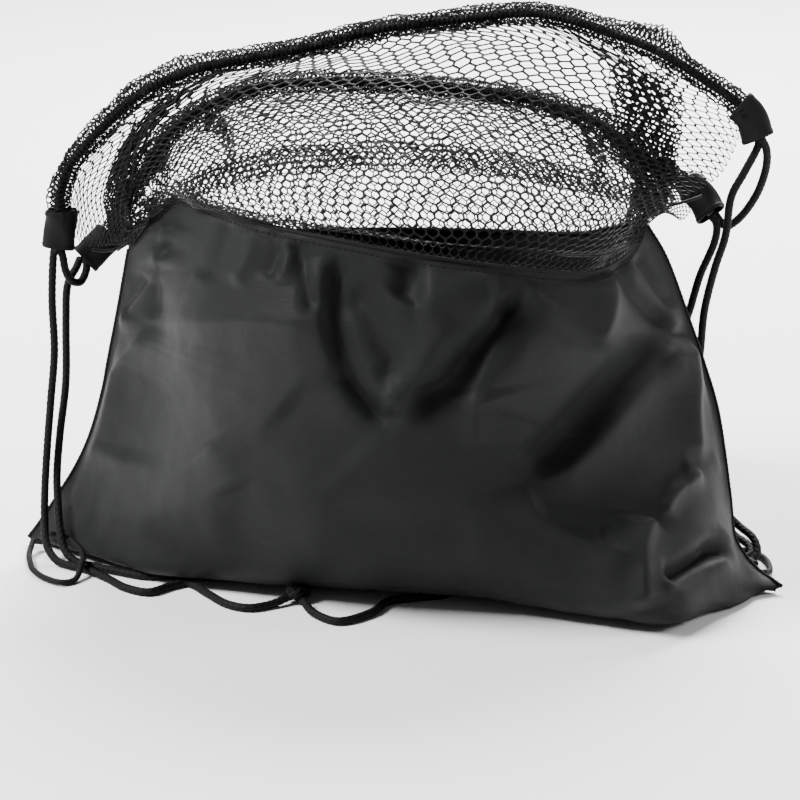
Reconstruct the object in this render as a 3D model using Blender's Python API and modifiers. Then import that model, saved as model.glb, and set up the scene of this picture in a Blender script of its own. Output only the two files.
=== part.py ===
"""Drawstring sack for carrying a ball: solid fabric below, open net above, standing filled on a floor.

Metres, +Z up, +X to the bag's right as seen from its front, +Y to its back. The origin is on the
underside of the flat base, where a ball of 240 mm diameter rests. Routes are listed in millimetres.
"""

import bmesh
import bpy
import numpy as np
from mathutils import Vector

MM = 0.001
FABRIC_THICKNESS = 1.2
NET_THICKNESS = 1.0
BASE_MIDDLE_Z = FABRIC_THICKNESS / 2
SEAM_RADIUS = 1.3
SEAM_REACH = 3.0  # from a seam's centre line to the edge of the panel that it binds
SIDE_REACH = 1.6  # the same at the side seams, along X
SIDE_DEPTH = 2.4  # and along Y
FRONT_BOTTOM_RISE = 0.3  # the front panel's bottom edge above the bottom seam's centre
BACK_BOTTOM_DROP = 0.9  # and the back panel's below it
CHANNEL_MIDDLE_RADIUS = 5.8
CHANNEL_THICKNESS = 1.2
TAB_MIDDLE_RADIUS = 6.0
TAB_LENGTH = 13.0
CORD_RADIUS = 2.0
CORD_SPACING = 4.6  # between the two cords that share a channel
LOOP_RADIUS = 1.5
KNOT_RADIUS = 4.5
GAP = 0.6
TAB_GAP = 3.2  # along the hem, between a tab and the channel

PANEL_COLUMNS = 20
PANEL_STEPS = 14
NET_COLUMNS = 18
NET_STEPS = 8
CHANNEL_POINTS = 32
TAB_POINTS = 4
BRIDGE_POINTS = 8
LOOP_POINTS = 24
SEAM_POINTS_APART = 13.0
CORD_POINTS_APART = 2.6  # in cord diameters
KNOT_SEGMENTS = 12
KNOT_RINGS = 8
SMOOTH_STEPS = 12  # samples between two points of a route

# Side seams, from the corner on the floor up to the slit under the hem.
LEFT_SEAM = (
    (-190, 18, 4), (-184, 18, 12), (-175.5, 16.5, 25), (-164, 13.5, 44), (-156, 11, 62),
    (-149.5, 9, 84), (-146, 8, 101), (-140.5, 7, 127), (-134.5, 6, 158),
)
RIGHT_SEAM = (
    (187, -59, 4), (176, -51, 10), (169, -46, 17), (164.5, -42, 26), (162.5, -35, 45),
    (157, -24, 82), (149.5, -18, 107), (142, -14.5, 128), (131, -11.5, 157), (121, -10, 174),
)
LEFT_NET_SEAM = ((-134.5, 6, 163), (-141, 11.5, 157), (-148, 17, 154.5), (-154, 21.5, 154))
RIGHT_NET_SEAM = ((121, -10, 179), (131, -9, 183), (141, -5, 185), (148, 1, 186))
BOTTOM_SEAM = (
    (-187, 16.5, 1.9), (-150, 2.5, 1.9), (-100, -12.5, 1.9), (-40, -22.5, 1.9), (30, -28.5, 1.9),
    (100, -35.5, 1.9), (150, -43.5, 1.9), (184, -57.5, 1.9),
)
FRONT_BINDING = (
    (-131.5, 2.5, 164), (-120, -12.5, 179), (-105, -23.5, 190), (-85, -58.5, 192), (-60, -82, 190),
    (-25, -100, 187), (15, -107, 181), (55, -97, 173.5), (87.5, -75.5, 166), (103, -52, 165.5),
    (111.5, -33, 168), (118, -14, 177),
)
BACK_BINDING = (
    (-131.5, 9.5, 162), (-118, 36, 157), (-95, 74, 149), (-50, 108, 144), (0, 119, 142),
    (50, 111, 143), (92, 83, 148), (113, 43, 162), (118.5, -6, 177),
)

# Rows of the front panel between the bottom seam and the binding: heights on the two side seams,
# then the points between them.
FRONT_ROWS = (
    (4.2, 4.2, ((-150, -6, 5.6), (-100, -21, 5.6), (-40, -31, 5.6), (30, -37, 5.6), (100, -44, 5.2),
                (150, -53, 4.2))),
    (7, 6, ((-170, 1, 6), (-150, -20, 5.6), (-120, -44, 5.6), (-85, -55, 5.6), (-50, -62, 5.6),
            (0, -73, 6), (40, -83, 6), (80, -100, 4.6), (125, -118, 3), (150, -103, 3), (170, -82, 3))),
    (24, 26, ((-148, -12, 24), (-110, -52, 24), (-60, -79, 24), (0, -94, 24), (45, -102, 24),
              (85, -112, 23), (124, -119, 22), (146, -96, 23), (158, -68, 26))),
    (56, 54, ((-134, -22, 57), (-98, -70, 58), (-50, -103, 58), (0, -114, 58), (50, -112, 58),
              (95, -98, 57), (125, -80, 56), (148, -56, 55))),
    (94, 94, ((-126, -20, 95), (-95, -71, 96), (-50, -109, 96), (0, -121, 96), (50, -112, 96),
              (95, -81, 96), (126, -48, 95))),
    (134, 135, ((-120, -22, 136), (-94, -72, 138), (-50, -109, 139), (0, -121, 138),
                (50, -112, 136), (93, -80, 134), (122, -42, 135))),
)
BACK_ROWS = (
    (5, 5, ((-160, 15, 0.6), (-100, 3, 0.6), (-40, -8, 0.6), (30, -13, 0.6), (100, -18, 0.6),
            (150, -31, 0.6))),
    (9, 9, ((-155, 27, 0.6), (-100, 23, 0.6), (-40, 20, 0.6), (30, 18, 0.6), (100, 13, 0.6),
            (150, -10, 0.6))),
    (14, 14, ((-150, 41, 0.6), (-100, 46, 0.6), (-40, 48, 0.6), (30, 48, 0.6), (100, 44, 0.6),
              (145, 16, 0.6))),
    (24, 27, ((-145, 54, 7), (-100, 69, 5), (-40, 78, 4), (30, 79, 4), (100, 70, 5), (140, 40, 8))),
    (45, 52, ((-135, 50, 45), (-95, 84, 45), (-40, 107, 45), (30, 109, 45), (95, 90, 45),
              (130, 52, 46))),
    (84, 92, ((-125, 42, 88), (-95, 78, 88), (-45, 114, 88), (30, 119, 88), (92, 86, 88),
              (125, 42, 89))),
    (120, 122, ((-121, 38, 120), (-92, 82, 119), (-45, 115, 118), (2, 123.5, 118), (50, 115, 118),
                (94, 83, 119), (121, 36, 122))),
)

# Rows of the two nets between the binding and the hem, edge to edge.
FRONT_NET_ROWS = (
    ((-143, 9, 159), (-138, -4, 182), (-112, -24, 204), (-85, -50, 212), (-50, -77, 216),
     (0, -91, 212), (45, -87, 207), (85, -67, 198), (112, -36, 191), (128, -17, 188),
     (137, -11, 187)),
    ((-156, 13, 158), (-153, 5, 187), (-132, -2, 214), (-100, -14, 229), (-60, -30, 239),
     (0, -46, 243), (45, -43, 242), (90, -31, 233), (122, -20, 221), (145, -17, 209),
     (156, -16, 201)),
)
BACK_NET_ROWS = (
    ((-141, 24, 153), (-127, 58, 168), (-95, 92, 176), (-50, 117, 177), (0, 126, 177),
     (50, 119, 177), (92, 93, 175), (119, 54, 173), (133, 4, 177)),
    ((-143, 40, 149), (-132, 66, 171), (-102, 88, 195), (-60, 107, 204), (0, 114, 205),
     (50, 111, 201), (93, 93, 191), (123, 64, 178), (140, 14, 171)),
)

# Centre lines of the two hem channels with their end tabs, left to right. Each end is a pivot.
FRONT_HEM = (
    (-170.5, 15, 157), (-168.5, 15, 170), (-168.5, 15, 183), (-164, 15, 197.5), (-154.5, 14, 209.5),
    (-140, 13, 224.5), (-124, 13, 237), (-98, 13, 247.5), (-69, 14, 253), (-39, 15, 259),
    (-10, 15, 266.5), (30, 15, 271.5), (60, 12, 275), (80, 8, 273), (100, 2, 267.5), (120, -3, 261),
    (136, -8, 253), (149, -12, 245), (160, -15, 238), (168, -17.5, 231), (173.5, -19, 219),
)
BACK_HEM = (
    (-159, 30, 147), (-149, 33, 156), (-141, 38, 168), (-134, 45, 181), (-126, 52, 195),
    (-115, 58, 208), (-99, 64, 218), (-75, 70, 227), (-50, 74, 229), (-20, 77, 229),
    (10, 78.5, 227), (40, 78, 224), (70, 75, 219.5), (98, 66, 211), (118, 52, 199), (134, 38, 190),
    (147, 26, 184), (155, 18, 173),
)

# Free cord, each from its channel's end down to its corner and on to its knot.
CORD_ROUTES = {
    "left_front_cord": (
        (-172.8, 15, 152.5), (-174, 14, 130), (-173.5, 13, 104), (-176, 12, 78), (-178, 9, 56),
        (-179.5, 5, 34), (-179.5, -1, 18), (-178, -9, 9), (-173, -16, 3.4), (-166, -21.5, 2.1),
        (-156, -28.5, 2.1), (-145, -41, 2.1), (-135, -55, 2.1), (-123, -62, 2.1),
        (-113, -53, 2.1), (-104, -49, 2.1), (-94, -64, 2.1), (-84, -79, 2.1), (-73, -85, 2.1),
        (-62, -80, 2.3), (-54.6, -74.6, 3.8),
    ),
    "left_back_cord": (
        (-162.8, 28.5, 143.5), (-167.5, 27, 134), (-168.5, 25, 116), (-169, 21, 86), (-172, 15, 61),
        (-173.5, 9, 42), (-173, 3, 28), (-171.5, -4.5, 16), (-168.5, -11.5, 6.6), (-162, -17, 2.3),
        (-153, -23, 2.1), (-142, -30, 2.1), (-126, -38, 2.1), (-110, -37, 2.1), (-80, -41, 2.1),
        (-40, -46, 2.1), (-10, -48, 2.1), (10, -48, 2.1), (23, -54, 2.1), (22, -65, 2.1),
        (8, -70, 2.1), (-6, -76, 2.1), (-14, -92, 2.1), (-29, -104, 2.1), (-41, -93, 2.1),
        (-46.8, -78.5, 3.2),
    ),
    "right_front_cord": (
        (173, -17.5, 214), (167, -15.5, 201), (161.5, -12, 188), (160, -5, 167.5), (156, 2, 149.6),
        (152, 9, 126.5), (151, 15, 104), (150, 21, 85), (151, 24, 62), (155, 20, 40), (162, 12, 24),
        (171, 3, 15.5), (177.5, -6, 12), (179.5, -13.5, 7), (176, -18.5, 2.9), (170, -18, 2.1),
        (164.5, -15.8, 2.3), (162.3, -13.6, 3.1),
    ),
    "right_back_cord": (
        (157.5, 14.5, 168.2), (156.5, 17, 158), (150.5, 22, 140.7), (146, 25, 122), (142.5, 30, 108),
        (141.5, 36, 88), (146, 38, 60), (153, 31, 34), (161, 21, 16.5), (169.5, 9.5, 8.5),
        (176, 0.5, 5.8), (176.8, -7, 2.9), (171.5, -9.5, 2.1), (166.2, -8.6, 2.9),
    ),
}
BRIDGE_ROUTES = {
    "left_bridge_cord": (
        (-168.2, 15, 152.5), (-167.2, 16.5, 145), (-165, 21, 138.5), (-160.8, 25.5, 136.5),
        (-158, 28.4, 141.5),
    ),
    "right_bridge_cord": (
        (177.4, -18.5, 213), (178, -13, 203), (175.5, -3, 189), (170, 7, 176), (163.6, 14, 168),
        (160.8, 16.5, 168.2),
    ),
}
CORNER_LOOPS = {
    "left_corner_loop": (
        (-186.5, 6, 6), (-187.5, -4, 2.4), (-186, -15, 1.9), (-183, -28, 1.9), (-176, -40, 1.9),
        (-167, -47, 1.9), (-160.5, -42, 2), (-158.4, -32, 6.2), (-158.4, -23, 6.8),
        (-160.6, -14.5, 8.2), (-166, -6.5, 10.4), (-173, -0.5, 11), (-180, 4.5, 10),
    ),
    "right_corner_loop": (
        (179.5, -45, 6.5), (182.5, -37, 4), (184.5, -27, 1.8), (184.5, -14, 1.8), (181, -3, 1.8),
        (175, 2.5, 1.8), (169, -0.5, 4.4), (167.6, -8, 7.4), (170, -17, 7.6), (172.5, -27, 7.8),
        (174.5, -36, 8.8), (175.8, -42.5, 10),
    ),
}
KNOTS = {"left_cord_knot": (-50, -71, 4.8), "right_cord_knot": (161.3, -8, 4.8)}

COLOURS = {
    "coated_fabric": ((0.028, 0.030, 0.031), 0.42),
    "net": ((0.012, 0.012, 0.012), 0.70),
    "webbing": ((0.016, 0.016, 0.016), 0.75),
    "cord": ((0.010, 0.010, 0.010), 0.80),
}


def clear_scene():
    for obj in list(bpy.data.objects):
        bpy.data.objects.remove(obj, do_unlink=True)


def material(kind, node):
    """One Principled material for each part, in its kind's colour and roughness."""
    colour, roughness = COLOURS[kind]
    made = bpy.data.materials.new(f"{node}_{kind}")
    made.use_nodes = True
    shader = made.node_tree.nodes["Principled BSDF"]
    shader.inputs["Base Color"].default_value = (*colour, 1.0)
    shader.inputs["Roughness"].default_value = roughness
    shader.inputs["Metallic"].default_value = 0.0
    made.diffuse_color = (*colour, 1.0)
    return made


def add(name, data, kind, origin=(0.0, 0.0, 0.0)):
    """A new object in the bag's collection, with its shape kept in place round its origin."""
    obj = bpy.data.objects.new(name, data)
    bag.objects.link(obj)
    obj.location = origin
    obj.data.materials.append(material(kind, name))
    return obj


def smooth_curve(points):
    """Samples of a Catmull-Rom curve through the points."""
    route = np.array(points, float)
    padded = np.vstack([2 * route[0] - route[1], route, 2 * route[-1] - route[-2]])
    samples = []
    for index in range(1, len(padded) - 2):
        before, start, end, after = padded[index - 1 : index + 3]
        for step in range(SMOOTH_STEPS):
            t = step / SMOOTH_STEPS
            samples.append(
                0.5 * (2 * start + (end - before) * t
                       + (2 * before - 5 * start + 4 * end - after) * t**2
                       + (3 * start - before - 3 * end + after) * t**3)
            )
    samples.append(route[-1])
    return np.array(samples)


def even_points(points, count, start=0.0, end=None):
    """Evenly spaced points on the smooth curve, between two distances along it."""
    curve = smooth_curve(points)
    along = np.concatenate([[0], np.cumsum(np.linalg.norm(np.diff(curve, axis=0), axis=1))])
    wanted = np.linspace(start, along[-1] if end is None else end, count)
    return np.stack([np.interp(wanted, along, curve[:, axis]) for axis in range(3)], axis=1)


def length_of(points):
    return float(np.linalg.norm(np.diff(smooth_curve(points), axis=0), axis=1).sum())


def seam_point(seam, height, side, depth):
    """A panel's edge point: the seam at this height, moved towards the panel by side and depth."""
    curve = smooth_curve(seam)
    x = np.interp(height, curve[:, 2], curve[:, 0])
    y = np.interp(height, curve[:, 2], curve[:, 1])
    return (x + side, y + depth, height)


def unit(vectors):
    return vectors / np.linalg.norm(vectors, axis=1, keepdims=True)


def across(line, way):
    """The part of each direction that is square to the line's own run."""
    run = unit(np.gradient(line, axis=0))
    return unit(way - run * (run * way).sum(axis=1, keepdims=True))


def stand_off(from_line, towards, reach):
    """The line moved this far, square to its run, towards the matching points of another line."""
    return from_line + reach * across(from_line, towards - from_line)


def panel(name, kind, grid, thickness):
    """A grid whose points take the rows' smooth surface, made solid by Solidify."""
    steps, columns = grid.shape[:2]
    mesh = bpy.data.meshes.new(name)
    shape = bmesh.new()
    bmesh.ops.create_grid(shape, x_segments=columns - 1, y_segments=steps - 1, size=1.0)
    for vertex in shape.verts:
        column = round((vertex.co.x + 1) / 2 * (columns - 1))
        step = round((vertex.co.y + 1) / 2 * (steps - 1))
        vertex.co = Vector(grid[step, column] * MM)
    shape.to_mesh(mesh)
    shape.free()
    mesh.shade_smooth()
    obj = add(name, mesh, kind)
    solidify = obj.modifiers.new("thickness", "SOLIDIFY")
    solidify.thickness = thickness * MM
    solidify.offset = 0.0
    return obj


def surface(rows, columns, steps):
    """Rows of equal point count, joined by smooth curves from row to row."""
    lanes = [even_points([row[column] for row in rows], steps) for column in range(columns)]
    return np.array(lanes).transpose(1, 0, 2)


def lower_panel_grid(rows, binding, bottom_shift, depth_sign):
    """A lower panel: the bottom seam, its own rows between the side seams, and the binding."""
    depth = depth_sign * SIDE_DEPTH
    bottom = even_points(np.array(BOTTOM_SEAM, float) + bottom_shift, PANEL_COLUMNS)
    lines = [bottom]
    for left_height, right_height, middle in rows:
        left = seam_point(LEFT_SEAM, left_height, SIDE_REACH, depth)
        right = seam_point(RIGHT_SEAM, right_height, -SIDE_REACH, depth)
        lines.append(even_points((left, *middle, right), PANEL_COLUMNS))
    top = even_points(binding, PANEL_COLUMNS)
    lines.append(stand_off(top, lines[-1], SEAM_REACH))
    grid = surface(lines, PANEL_COLUMNS, PANEL_STEPS)
    grid[:, :, 2] = np.maximum(grid[:, :, 2], BASE_MIDDLE_Z)
    return grid


def net_grid(rows, binding, hem):
    """A net panel: from just above the binding to just under the hem channel."""
    lines = [even_points(row, NET_COLUMNS) for row in rows]
    low = even_points(binding, NET_COLUMNS)
    high = even_points(hem, NET_COLUMNS, TAB_LENGTH, length_of(hem) - TAB_LENGTH)
    reach = CHANNEL_MIDDLE_RADIUS + CHANNEL_THICKNESS + GAP
    lines.insert(0, stand_off(low, lines[0], SEAM_REACH))
    lines.append(stand_off(high, lines[-1], reach))
    return surface(lines, NET_COLUMNS, NET_STEPS)


def tube(name, kind, points, radius, capped=True, pivot=(0.0, 0.0, 0.0), roundness=2):
    """A round tube along the points, as a poly curve with a bevel, its origin at the pivot."""
    data = bpy.data.curves.new(name, "CURVE")
    data.dimensions = "3D"
    data.bevel_depth = radius * MM
    data.bevel_resolution = roundness
    data.use_fill_caps = capped
    spline = data.splines.new("POLY")
    spline.points.add(len(points) - 1)
    for place, point in zip(spline.points, points):
        place.co = (*(Vector(point) - Vector(pivot)) * MM, 1.0)
    return add(name, data, kind, Vector(pivot) * MM)


def hollow_tube(name, kind, points, radius, pivot):
    """A fabric tunnel, open at both ends."""
    obj = tube(name, kind, points, radius, capped=False, pivot=pivot)
    solidify = obj.modifiers.new("thickness", "SOLIDIFY")
    solidify.thickness = CHANNEL_THICKNESS * MM
    solidify.offset = 0.0
    return obj


def beside(points, distance):
    """The line moved sideways along Y, square to its own run."""
    return points + distance * across(points, np.tile((0.0, 1.0, 0.0), (len(points), 1)))


def rim(side, hem):
    """A hem channel, its two end tabs and the two cord runs inside it, hung on its pivot."""
    pivot = hem[0]
    total = length_of(hem)
    middle = even_points(hem, CHANNEL_POINTS, TAB_LENGTH + TAB_GAP, total - TAB_LENGTH - TAB_GAP)
    hollow_tube(f"{side}_hem_channel", "net", middle, CHANNEL_MIDDLE_RADIUS, pivot)
    for end, first in (("left", 0.0), ("right", total - TAB_LENGTH)):
        cuff = even_points(hem, TAB_POINTS, first, first + TAB_LENGTH)
        hollow_tube(f"{side}_hem_{end}_tab", "webbing", cuff, TAB_MIDDLE_RADIUS, pivot)
    run = even_points(hem, CHANNEL_POINTS)
    for name, shift in (("left", -CORD_SPACING / 2), ("right", CORD_SPACING / 2)):
        tube(f"{side}_channel_{name}_cord", "cord", beside(run, shift), CORD_RADIUS, pivot=pivot)


def seam(name, points):
    count = round(length_of(points) / SEAM_POINTS_APART) + 3
    return tube(name, "webbing", even_points(points, count), SEAM_RADIUS, roundness=1)


def cord(name, points):
    spacing = CORD_POINTS_APART * 2 * CORD_RADIUS
    count = round(length_of(points) / spacing) + 1
    return tube(name, "cord", even_points(points, count), CORD_RADIUS)


def knot(name, centre):
    """An overhand knot's outer form, a slightly flattened ball."""
    mesh = bpy.data.meshes.new(name)
    shape = bmesh.new()
    bmesh.ops.create_uvsphere(shape, u_segments=KNOT_SEGMENTS, v_segments=KNOT_RINGS,
                              radius=KNOT_RADIUS * MM)
    shape.to_mesh(mesh)
    shape.free()
    mesh.shade_smooth()
    return add(name, mesh, "cord", Vector(centre) * MM)


clear_scene()
bag = bpy.data.collections.new("mesh_ball_bag")
bpy.context.scene.collection.children.link(bag)

front_grid = lower_panel_grid(FRONT_ROWS, FRONT_BINDING, (0, -SEAM_REACH, FRONT_BOTTOM_RISE), -1)
back_grid = lower_panel_grid(BACK_ROWS, BACK_BINDING, (0, SEAM_REACH, -BACK_BOTTOM_DROP), 1)
panel("front_lower_panel", "coated_fabric", front_grid, FABRIC_THICKNESS)
panel("back_lower_panel", "coated_fabric", back_grid, FABRIC_THICKNESS)
panel("front_net_panel", "net", net_grid(FRONT_NET_ROWS, FRONT_BINDING, FRONT_HEM), NET_THICKNESS)
panel("back_net_panel", "net", net_grid(BACK_NET_ROWS, BACK_BINDING, BACK_HEM), NET_THICKNESS)

seam("front_net_binding", FRONT_BINDING)
seam("back_net_binding", BACK_BINDING)
seam("left_side_seam", LEFT_SEAM)
seam("right_side_seam", RIGHT_SEAM)
seam("left_net_seam", LEFT_NET_SEAM)
seam("right_net_seam", RIGHT_NET_SEAM)
seam("bottom_seam", BOTTOM_SEAM)

rim("front", FRONT_HEM)
rim("back", BACK_HEM)

for cord_name, route in CORD_ROUTES.items():
    cord(cord_name, route)
for bridge_name, route in BRIDGE_ROUTES.items():
    tube(bridge_name, "cord", even_points(route, BRIDGE_POINTS), CORD_RADIUS)
for loop_name, route in CORNER_LOOPS.items():
    tube(loop_name, "webbing", even_points(route, LOOP_POINTS), LOOP_RADIUS)
for knot_name, place in KNOTS.items():
    knot(knot_name, place)
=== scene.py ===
"""The looks of the mesh ball bag: coated fabric below, open honeycomb net above, braided cords.

Routes and rows are in millimetres, in the CAD frame, and meshes are made in metres. A fold's place is
given in the front view, as the raised camera sees it: x to the right, and v upwards.
"""

import math

import bpy
import numpy as np
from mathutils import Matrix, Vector


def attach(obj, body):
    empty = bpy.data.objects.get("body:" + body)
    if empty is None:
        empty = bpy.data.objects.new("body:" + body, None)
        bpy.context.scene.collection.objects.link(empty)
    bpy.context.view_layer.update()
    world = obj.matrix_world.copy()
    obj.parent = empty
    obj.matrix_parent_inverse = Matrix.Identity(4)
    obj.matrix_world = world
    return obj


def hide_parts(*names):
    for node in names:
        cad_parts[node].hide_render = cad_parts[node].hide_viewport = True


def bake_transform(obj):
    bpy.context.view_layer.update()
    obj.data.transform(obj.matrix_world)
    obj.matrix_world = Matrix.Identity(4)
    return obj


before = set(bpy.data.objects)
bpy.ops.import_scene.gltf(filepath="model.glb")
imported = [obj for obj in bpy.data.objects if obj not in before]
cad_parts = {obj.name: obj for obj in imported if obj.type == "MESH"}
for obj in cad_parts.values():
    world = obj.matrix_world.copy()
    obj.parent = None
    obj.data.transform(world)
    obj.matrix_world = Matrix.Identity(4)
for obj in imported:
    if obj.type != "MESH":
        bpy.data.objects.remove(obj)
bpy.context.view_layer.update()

MM = 0.001
BACKWARDS = (0.0, 1.0, 0.0)
CAMERA_ELEVATION = math.radians(16)
CAMERA_DISTANCE = 1.667
CAMERA_LENS = 150
SENSOR_WIDTH = 36
AIM = Vector((0.0, 0.0, 0.082))

FLAT_WIDTH = 400.0
LOWER_HEIGHT = 250.0
NET_WIDTH = 560.0  # the net is cut wider than the fabric and gathered on it at the corners
NET_HEIGHT = 170.0
TAB_LENGTH = 13.0
CUFF_OVERLAP = 6.0  # how far a cuff reaches over its hem channel
CHANNEL_RADIUS = 5.8
CORD_RADIUS = 2.0
CORD_SPACING = 4.6
SMOOTH_STEPS = 12  # samples from one point of a route to the next
NOISE_WAVES = 7
NOISE_SPAN = 3.2

FABRIC_THICKNESS = 0.3
FABRIC_RELIEF = ((0.5, 70.0, 3), (0.16, 22.0, 5))  # soft unevenness: height, wavelength, seed
FABRIC_COLUMNS, FABRIC_STEPS = 252, 196
FLOOR_CLEARANCE = 0.3
SEAM_PULL = 0.09  # share of a panel's width over which its edge is drawn to the side seam
SEAM_PULL_START = 0.08  # share of its height over which that sets in
FLAT_EDGE = 0.03  # share of a panel beside its seams that has no folds
FLAT_FOOT = 0.04
FOLD_START, FOLD_END = 0.18, 0.22  # shares of its length over which a fold rises and dies away
FOLD_LEAD = 0.02
SIDE_BLEND = 1.5  # half the width over which a fold's reach changes from side to side
FOLD_SHARPNESS = 1.3  # how fast a crease falls off, against its reach
FOLD_ROUNDING, FOLD_TOP = 3.0, 1.73  # of a crease's top: the square of its radius, and its radius
THREAD_SCALE = 1000.0
SLUB_SCALE = (70.0, 70.0, 1100.0)

BINDING_RADIUS = 1.1
SIDE_SEAM_RADIUS = 1.0
NET_SEAM_RADIUS = 0.8
SEAM_STEP = 0.9
WRAP_PITCH = 2.4  # from one wrap of a seam's thread to the next
WRAP_RELIEF = 0.12
STITCH_EVERY = 3.2
STITCH_LENGTH = 2.2
STITCH_RADIUS = 0.28
STITCH_SIDES, STITCH_RINGS = 6, 5
STITCH_SIDEWAYS = (0.3, 0.2, 1)
STITCH_ROW = -4  # the row of a lower panel's points that the stitches follow

CUFF_RADIUS = 5.7
CUFF_ASPECT = (0.9, 1.3)
CUFF_SQUARENESS = 2.6  # 2 is an ellipse, and more is nearer a rectangle
CUFF_THICKNESS = 0.9
CUFF_RELIEF = 0.05
CUFF_TURN, CUFF_TURN_REACH = 1.2, 0.8  # the turned edge's ridge: from the end, and half its width

CORD_STEP = 0.62
BRAID_PITCH = 3.1
BRAID_STRANDS = 4
BRAID_CORE = 0.91  # of the cord's radius
BRAID_RELIEF = 0.13
LOOP_RADIUS = 1.5
LOOP_STEP = 0.6
KNOT_RING = 3.3
KNOT_LOBE = 1.7
KNOT_RISE = 1.9
KNOT_SQUEEZE = np.array((0.95, 0.95, 0.9))

CELL_PERIOD = 5.6  # along a row of cells
CELL_SPACING = 4.2  # from row to row
CELL_SIDE = 2.1  # the upright yarn between two cells of a row
YARN_WIDTH = 0.85
YARN_THICKNESS = 0.5
NET_COLUMNS, NET_STEPS = 160, 90
NET_FLAT_ENDS, NET_FLAT_SIDES = 0.08, 0.05  # shares of the net beside its seams that lie flat
NET_RELIEF = ((1.6, 55.0, 11), (0.7, 20.0, 12))
CUFF_SHARE_CLEAR = 0.6  # of a cuff's length, where the net's own corner is
HEM_LAP = 0.6  # how far the net reaches into its hem channel's wall
PLEAT_STEPS, PLEAT_COLUMNS = 120, 801
PLEAT_ENDS = 0.12  # how gradually a pleat starts and ends, as a share of the way up
PLEAT_LIFT = 2.2
HEM_STEPS = 400
HEM_LAYERS = ((0.92, 0.0), (0.74, 0.3))  # share of the tunnel's radius, and turn
HEM_RUFFLES = ((0.14, 14.0), (0.12, 5.0))  # height and wavelength
FOLD_DEPTH = 1.9  # by how much the folds' listed heights are deepened
BILLOW_DEPTH = 2.5  # how much further apart than a pleat's layers a billow's are

LEFT_SEAM = (
    (-190, 18, 4), (-184, 18, 12), (-175.5, 16.5, 25), (-164, 13.5, 44), (-156, 11, 62),
    (-149.5, 9, 84), (-146, 8, 101), (-140.5, 7, 127), (-134.5, 6, 158),
)
RIGHT_SEAM = (
    (187, -59, 4), (176, -51, 10), (169, -46, 17), (164.5, -42, 26), (162.5, -35, 45),
    (157, -24, 82), (149.5, -18, 107), (142, -14.5, 128), (131, -11.5, 157), (121, -10, 174),
)
LEFT_NET_SEAM = ((-134.5, 6, 163), (-141, 11.5, 157), (-148, 17, 154.5), (-154, 21.5, 154))
RIGHT_NET_SEAM = ((121, -10, 179), (131, -9, 183), (141, -5, 185), (148, 1, 186))
BOTTOM_SEAM = (
    (-187, 16.5, 1.9), (-150, 2.5, 1.9), (-100, -12.5, 1.9), (-40, -22.5, 1.9), (30, -28.5, 1.9),
    (100, -35.5, 1.9), (150, -43.5, 1.9), (184, -57.5, 1.9),
)
FRONT_BINDING = (
    (-131.5, 2.5, 164), (-120, -12.5, 179), (-105, -23.5, 190), (-85, -58.5, 192), (-60, -82, 190),
    (-25, -100, 187), (15, -107, 181), (55, -97, 173.5), (87.5, -75.5, 166), (103, -52, 165.5),
    (111.5, -33, 168), (118, -14, 177),
)
BACK_BINDING = (
    (-131.5, 9.5, 162), (-118, 36, 157), (-95, 74, 149), (-50, 108, 144), (0, 119, 142),
    (50, 111, 143), (92, 83, 148), (113, 43, 162), (118.5, -6, 177),
)
FRONT_ROWS = (
    (4.2, 4.2, ((-150, -6, 5.6), (-100, -21, 5.6), (-40, -31, 5.6), (30, -37, 5.6), (100, -44, 5.2),
     (150, -53, 4.2))),
    (7, 6, ((-170, 1, 6), (-150, -20, 5.6), (-120, -44, 5.6), (-85, -55, 5.6), (-50, -62, 5.6),
     (0, -73, 6), (40, -82, 6), (80, -95, 4.6), (124, -110, 3), (149, -92, 3), (170, -74, 3))),
    (24, 26, ((-148, -12, 24), (-110, -52, 24), (-60, -79, 24), (0, -94, 24), (45, -102, 24),
     (85, -112, 23), (124, -119, 22), (146, -96, 23), (158, -68, 26))),
    (56, 54, ((-134, -22, 57), (-98, -70, 58), (-50, -103, 58), (0, -114, 58), (50, -112, 58),
     (95, -98, 57), (125, -80, 56), (148, -56, 55))),
    (94, 94, ((-126, -20, 95), (-95, -71, 96), (-50, -109, 96), (0, -121, 96), (50, -112, 96),
     (95, -81, 96), (126, -48, 95))),
    (134, 135, ((-120, -22, 136), (-94, -72, 138), (-50, -109, 139), (0, -121, 138),
     (50, -112, 136), (93, -80, 134), (122, -42, 135))),
)
BACK_ROWS = (
    (5, 5, ((-160, 15, 0.6), (-100, 3, 0.6), (-40, -8, 0.6), (30, -13, 0.6), (100, -18, 0.6),
     (150, -31, 0.6))),
    (9, 9, ((-155, 27, 0.6), (-100, 23, 0.6), (-40, 20, 0.6), (30, 18, 0.6), (100, 13, 0.6),
     (150, -10, 0.6))),
    (14, 14, ((-150, 41, 0.6), (-100, 46, 0.6), (-40, 48, 0.6), (30, 48, 0.6), (100, 44, 0.6),
     (145, 16, 0.6))),
    (24, 27, ((-145, 54, 7), (-100, 69, 5), (-40, 78, 4), (30, 79, 4), (100, 70, 5), (140, 40, 8))),
    (45, 52, ((-135, 50, 45), (-95, 84, 45), (-40, 107, 45), (30, 109, 45), (95, 90, 45),
     (130, 52, 46))),
    (84, 92, ((-125, 42, 88), (-95, 78, 88), (-45, 114, 88), (30, 119, 88), (92, 86, 88),
     (125, 42, 89))),
    (120, 122, ((-121, 38, 120), (-92, 82, 119), (-45, 115, 118), (2, 123.5, 118), (50, 115, 118),
     (94, 83, 119), (121, 36, 122))),
)
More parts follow.
